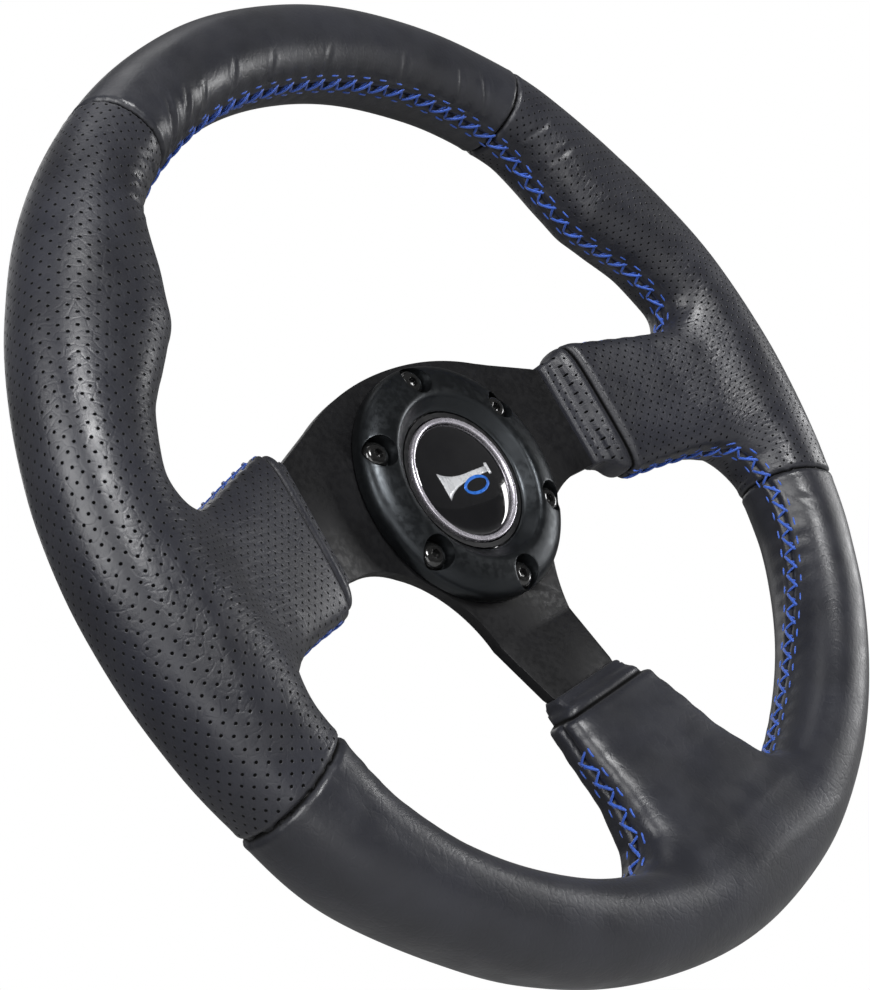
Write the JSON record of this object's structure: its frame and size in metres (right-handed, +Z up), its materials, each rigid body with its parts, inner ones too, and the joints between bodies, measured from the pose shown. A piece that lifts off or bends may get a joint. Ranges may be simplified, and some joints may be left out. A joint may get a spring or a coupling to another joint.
{
  "type": "steering wheel",
  "caption": "Round leather steering wheel with a bolt-on hub plate, trim ring and sprung horn button, for a quick release or hub adapter.",
  "frame": {"origin": "centre of the spoke plate's back face, where the hub adapter or quick release seats", "axes": "+Y along the steering axis from the driver towards the column, +X to the driver's right, +Z up to 12 o'clock"},
  "size_m": [0.32, 0.0622, 0.32],
  "materials": {
    "plate": "black anodised, satin",
    "core_steel": "plain steel tube",
    "foam": "moulded polyurethane",
    "smooth_leather": "smooth black leather",
    "perforated_leather": "perforated black leather",
    "thread": "blue waxed thread",
    "ring": "black anodised, satin",
    "screw": "black oxide, glossy",
    "housing_plastic": "black moulded plastic",
    "spring_steel": "bright spring steel",
    "fibre": "pressed fibre",
    "contact_brass": "plain brass",
    "chrome": "polished",
    "emblem": "black printed disc",
    "lens": "domed clear resin over the black disc"
  },
  "bodies": {
    "wheel": {"spoke_plate": "plate", "rim_core_tube": "core_steel", "rim_foam": "foam", "leather_top": "smooth_leather", "leather_right": "perforated_leather", "leather_bottom": "smooth_leather", "leather_left": "perforated_leather", "stitching_top_window": "thread", "stitching_right_window": "thread", "stitching_left_window": "thread", "trim_ring": "ring", "ring_screw_1": "screw", "ring_screw_2": "screw", "ring_screw_3": "screw", "ring_screw_4": "screw", "ring_screw_5": "screw", "ring_screw_6": "screw", "horn_body": "housing_plastic", "horn_retaining_ring": "spring_steel", "horn_insulator": "fibre", "horn_fixed_contact": "contact_brass", "horn_terminal_live": "contact_brass", "horn_terminal_ground": "contact_brass", "horn_spring": "spring_steel"},
    "horn_button": {"horn_cap": "housing_plastic", "horn_bezel": "chrome", "horn_emblem_disc": "emblem", "horn_lens": "lens", "horn_moving_contact": "contact_brass"}
  },
  "joints": [
    {"name": "horn_press", "type": "slide", "parent": "wheel", "child": "horn_button", "axis": [0, 1, 0], "range_m": [0, 0.0025], "stiffness_N_per_m": 1500, "springref_m": -0.004, "deforming": ["horn_spring"]}
  ]
}
